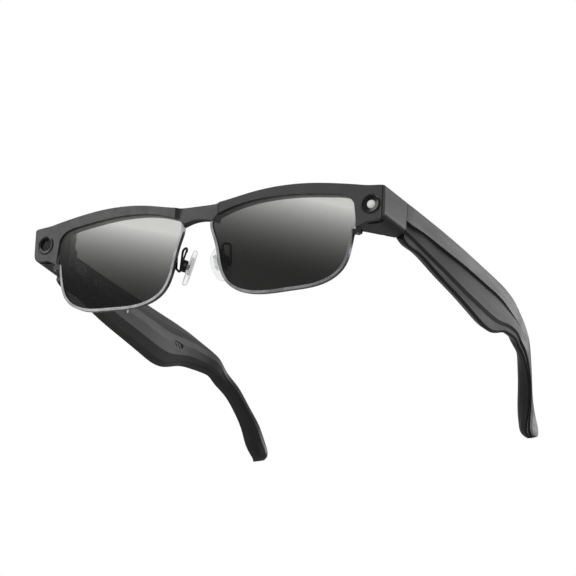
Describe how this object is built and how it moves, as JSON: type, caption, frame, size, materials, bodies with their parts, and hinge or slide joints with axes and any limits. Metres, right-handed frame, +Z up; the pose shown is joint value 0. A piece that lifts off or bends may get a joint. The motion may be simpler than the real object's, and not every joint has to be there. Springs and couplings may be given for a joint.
{
  "type": "smart glasses",
  "caption": "Half-rim smart glasses: brow bar with a camera window and a light window at its corners, tinted lenses, nose pads on wire arms and thick folding temples that hold the electronics.",
  "frame": {"origin": "on the symmetry plane, at the front face of the bridge, level with the lenses' upper inner corners", "axes": "+X towards the wearer's left, +Y back along the temples, +Z up"},
  "size_m": [0.147, 0.1692, 0.0444],
  "materials": {
    "battery": "foil pouch cell",
    "brow_front_shell": "satin charcoal black moulding",
    "brow_rear_cover": "satin black moulding",
    "button_switch": "switch on carrier",
    "camera_barrel": "black lens barrel",
    "camera_bezel": "black, turned edge",
    "camera_cover_glass": "coated cover glass",
    "camera_sensor_board": "circuit board",
    "capture_button": "satin key",
    "charging_block": "black insert",
    "charging_contacts": "gold plated",
    "control_board": "circuit board",
    "corner_housing": "satin charcoal black moulding",
    "front_flex": "polyimide flexible circuit",
    "hinge_front_leaf": "black nickel",
    "hinge_pin": "steel",
    "hinge_screws": "steel",
    "hinge_temple_leaf": "black nickel",
    "lens": "tinted, reflective coat",
    "light_bezel": "black, turned edge",
    "light_board": "circuit board",
    "light_diffuser": "milky diffuser",
    "lower_rim": "gunmetal plated wire",
    "main_board": "circuit board",
    "nose_pad": "clear soft silicone",
    "pad_arm": "black plated wire",
    "pad_core": "clear hard plastic",
    "pad_screw": "plated steel",
    "rim_screw": "plated steel",
    "speaker": "sealed driver",
    "speaker_grille": "slotted grille",
    "status_light": "milky light pipe",
    "temple_inner_cover": "matte charcoal black moulding",
    "temple_screws": "steel",
    "temple_shell": "satin charcoal black moulding",
    "tip_core": "spring steel wire"
  },
  "bodies": {
    "front": {"brow_front_shell": "brow_front_shell", "brow_rear_cover": "brow_rear_cover", "button_switch": "button_switch", "camera_barrel": "camera_barrel", "camera_bezel": "camera_bezel", "camera_cover_glass": "camera_cover_glass", "camera_sensor_board": "camera_sensor_board", "corner_housing_left": "corner_housing", "corner_housing_right": "corner_housing", "front_flex": "front_flex", "hinge_front_leaf_left": "hinge_front_leaf", "hinge_front_leaf_right": "hinge_front_leaf", "hinge_pin_left": "hinge_pin", "hinge_pin_right": "hinge_pin", "hinge_screws_left": "hinge_screws", "hinge_screws_right": "hinge_screws", "lens_left": "lens", "lens_right": "lens", "light_bezel": "light_bezel", "light_board": "light_board", "light_diffuser": "light_diffuser", "lower_rim_left": "lower_rim", "lower_rim_right": "lower_rim", "pad_arm_left": "pad_arm", "pad_arm_right": "pad_arm", "pad_screw_left": "pad_screw", "pad_screw_right": "pad_screw", "rim_screw_left": "rim_screw", "rim_screw_right": "rim_screw"},
    "temple_left": {"battery_left": "battery", "control_board_left": "control_board", "hinge_temple_leaf_left": "hinge_temple_leaf", "speaker_grille_left": "speaker_grille", "speaker_left": "speaker", "temple_inner_cover_left": "temple_inner_cover", "temple_screws_left": "temple_screws", "temple_shell_left": "temple_shell", "tip_core_left": "tip_core"},
    "temple_right": {"battery_right": "battery", "charging_block_right": "charging_block", "charging_contacts_right": "charging_contacts", "hinge_temple_leaf_right": "hinge_temple_leaf", "main_board_right": "main_board", "speaker_grille_right": "speaker_grille", "speaker_right": "speaker", "status_light_right": "status_light", "temple_inner_cover_right": "temple_inner_cover", "temple_screws_right": "temple_screws", "temple_shell_right": "temple_shell", "tip_core_right": "tip_core"},
    "nose_pad_left": {"nose_pad_left": "nose_pad", "pad_core_left": "pad_core"},
    "nose_pad_right": {"nose_pad_right": "nose_pad", "pad_core_right": "pad_core"},
    "capture_button": {"capture_button": "capture_button"}
  },
  "joints": [
    {"name": "temple_fold_left", "type": "hinge", "parent": "front", "child": "temple_left", "pos_m": [0.0646, 0.0197, -0.0025], "axis": [0, 0, 1], "range_deg": [0, 78]},
    {"name": "temple_fold_right", "type": "hinge", "parent": "front", "child": "temple_right", "pos_m": [-0.0646, 0.0197, -0.0025], "axis": [0, 0, -1], "range_deg": [0, 91]},
    {"name": "nose_pad_rock_left", "type": "hinge", "parent": "front", "child": "nose_pad_left", "pos_m": [0.00786, 0.0078, -0.01554], "axis": [-0.4949, -0.8573, -0.1419], "range_deg": [-10, 10]},
    {"name": "nose_pad_rock_right", "type": "hinge", "parent": "front", "child": "nose_pad_right", "pos_m": [-0.00786, 0.0078, -0.01554], "axis": [-0.4949, 0.8573, 0.1419], "range_deg": [-10, 10]},
    {"name": "capture_button_press", "type": "slide", "parent": "front", "child": "capture_button", "axis": [0, 0, -1], "range_m": [0, 0.0004], "stiffness_N_per_m": 900}
  ]
}
